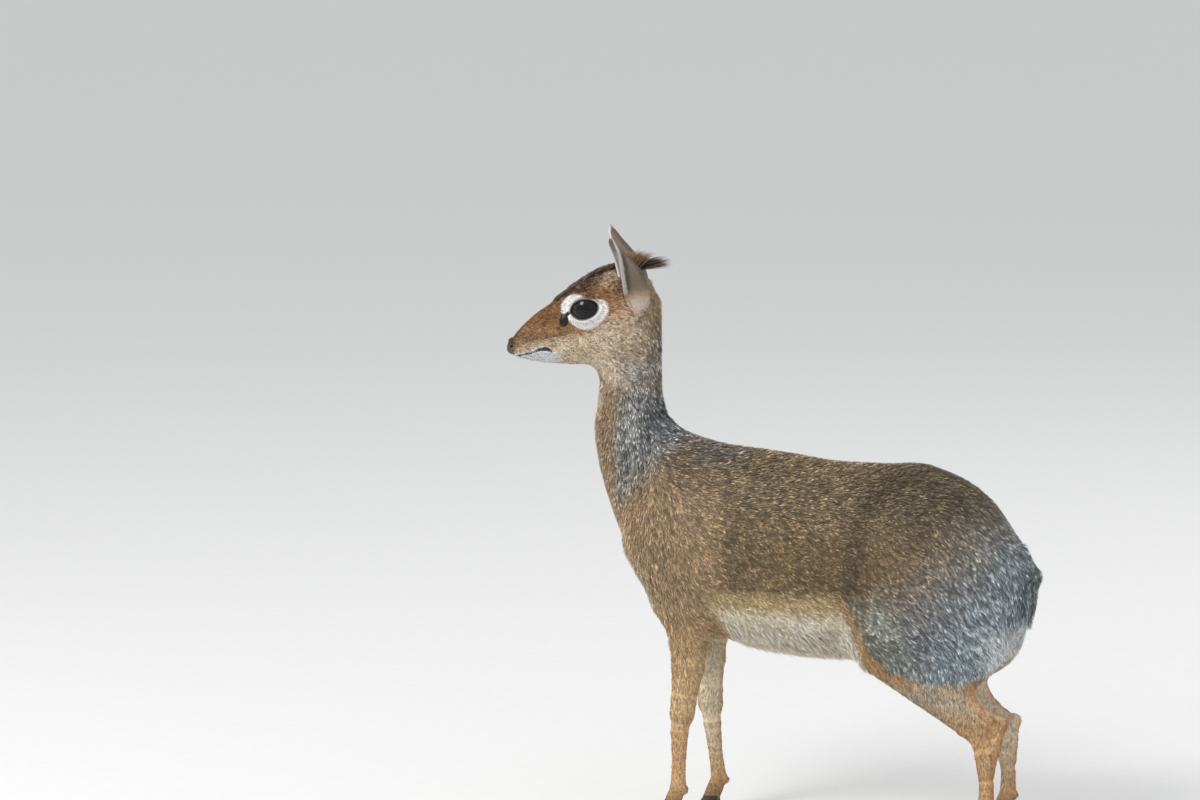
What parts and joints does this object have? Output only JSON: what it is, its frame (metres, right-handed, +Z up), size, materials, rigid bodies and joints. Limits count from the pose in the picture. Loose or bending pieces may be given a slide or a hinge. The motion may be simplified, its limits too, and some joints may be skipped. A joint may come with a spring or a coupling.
{
  "type": "dik-dik model",
  "caption": "Life-size still model of a hornless female dik-dik standing square with her head turned to her left, crest raised.",
  "frame": {"origin": "on the floor, under the middle of the box around the standing animal", "axes": "+Z up, the animal faces -X, its left side is towards -Y"},
  "size_m": [0.5436, 0.1532, 0.5874],
  "materials": {
    "coat": "short fur, grizzled brown and grey",
    "horn": "dull black hoof horn",
    "eye": "wet gloss, near black"
  },
  "bodies": {
    "root": {"head": "coat", "neck": "coat", "torso": "coat", "tail": "coat", "leg_fore_left": "coat", "claw_fore_left_inner": "horn", "claw_fore_left_outer": "horn", "leg_fore_right": "coat", "claw_fore_right_inner": "horn", "claw_fore_right_outer": "horn", "leg_hind_left": "coat", "claw_hind_left_inner": "horn", "claw_hind_left_outer": "horn", "leg_hind_right": "coat", "claw_hind_right_inner": "horn", "claw_hind_right_outer": "horn", "ear_left": "coat", "eye_left": "eye", "ear_right": "coat", "eye_right": "eye"}
  },
  "joints": []
}
